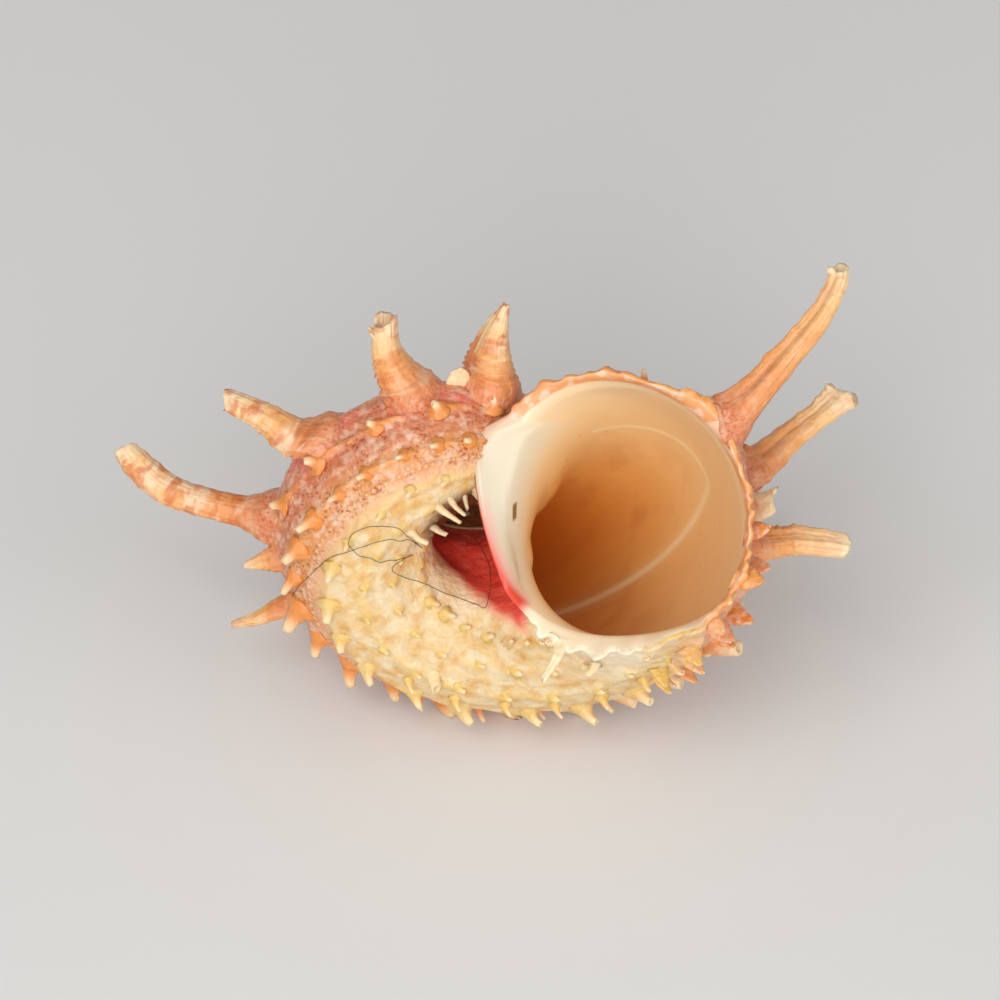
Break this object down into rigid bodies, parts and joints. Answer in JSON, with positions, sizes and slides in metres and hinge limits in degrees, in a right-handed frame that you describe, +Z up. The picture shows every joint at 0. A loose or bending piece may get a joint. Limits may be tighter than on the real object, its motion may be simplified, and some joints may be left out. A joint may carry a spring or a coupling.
{
  "type": "sea snail shell",
  "caption": "Spiny sea snail shell with a low spire, a wide round mouth, an open navel and long hollow-looking spines along its shoulder.",
  "frame": {"origin": "middle of the shell's bounding box, on the level surface that it rests on", "axes": "+Z up; -Y is the front, to which the base with its navel faces; the mouth faces up and to the front; +X is the side of the mouth and of the longest spine"},
  "size_m": [0.0744, 0.0376, 0.0523],
  "materials": {
    "shell": "matt salmon-orange outside with cream base, satin nacre inside the mouth"
  },
  "bodies": {
    "root": {"shell": "shell"}
  },
  "joints": []
}
